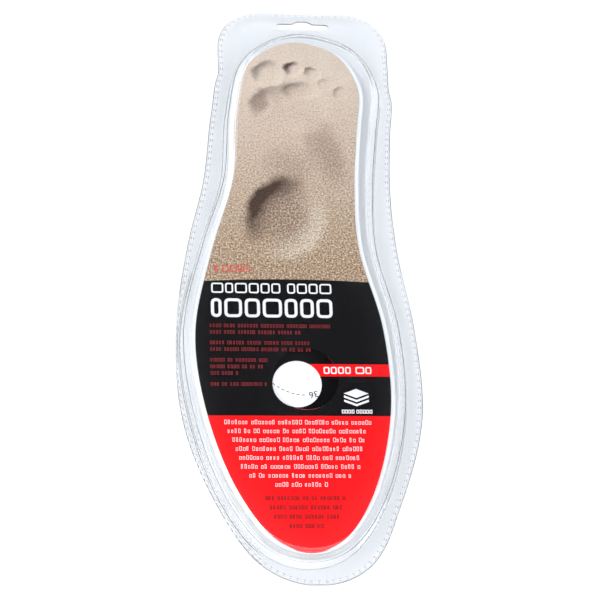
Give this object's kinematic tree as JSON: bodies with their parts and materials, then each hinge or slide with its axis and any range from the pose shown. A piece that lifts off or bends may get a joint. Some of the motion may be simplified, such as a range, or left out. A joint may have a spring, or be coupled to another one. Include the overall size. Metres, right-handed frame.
{
  "type": "cushioned insole pair in a display pack",
  "caption": "Pair of foam insoles, stacked cover to cover under a printed card, in a clear two-shell hanging pack with a finger hole.",
  "frame": {"origin": "under the middle of the weld flange, on the plane that the pack lies on with its back down", "axes": "+X across the pack towards the arch side, +Y along it towards the heel and the hang slot, +Z out through the front shell"},
  "size_m": [0.1236, 0.3184, 0.0195],
  "materials": {
    "clear_shell": "gloss",
    "printed_card": "satin",
    "base_cloth": "matte",
    "memory_foam": "matte",
    "cover_velour": "matte"
  },
  "bodies": {
    "back_shell": {"back_blister": "clear_shell"},
    "front_shell": {"front_blister": "clear_shell"},
    "card": {"insert_card": "printed_card"},
    "left_insole": {"left_insole_foam": "memory_foam", "left_insole_cover": "cover_velour"},
    "left_sole_face": {"left_insole_base": "base_cloth"},
    "right_insole": {"right_insole_foam": "memory_foam", "right_insole_base": "base_cloth"},
    "right_foot_face": {"right_insole_cover": "cover_velour"}
  },
  "joints": [
    {"name": "front_lift", "type": "slide", "parent": "back_shell", "child": "front_shell", "axis": [0, 0, 1], "range_m": [0, 0.12]},
    {"name": "card_lift", "type": "slide", "parent": "back_shell", "child": "card", "axis": [0, 0, 1], "range_m": [0, 0.09]},
    {"name": "left_insole_lift", "type": "slide", "parent": "back_shell", "child": "left_insole", "axis": [0, 0, 1], "range_m": [0, 0.06]},
    {"name": "right_insole_lift", "type": "slide", "parent": "back_shell", "child": "right_insole", "axis": [0, 0, 1], "range_m": [0, 0.03]},
    {"name": "left_foam_press", "type": "slide", "parent": "left_insole", "child": "left_sole_face", "axis": [0, 0, -1], "range_m": [0, 0.0025], "stiffness_N_per_m": 1500, "deforming": ["left_insole_foam"]},
    {"name": "right_foam_press", "type": "slide", "parent": "right_insole", "child": "right_foot_face", "axis": [0, 0, -1], "range_m": [0, 0.0025], "stiffness_N_per_m": 1500, "deforming": ["right_insole_foam"]}
  ],
  "couplings": [
    {"joint": "card_lift", "follows": "front_lift", "ratio": 0.75},
    {"joint": "left_insole_lift", "follows": "front_lift", "ratio": 0.5},
    {"joint": "right_insole_lift", "follows": "front_lift", "ratio": 0.25}
  ]
}
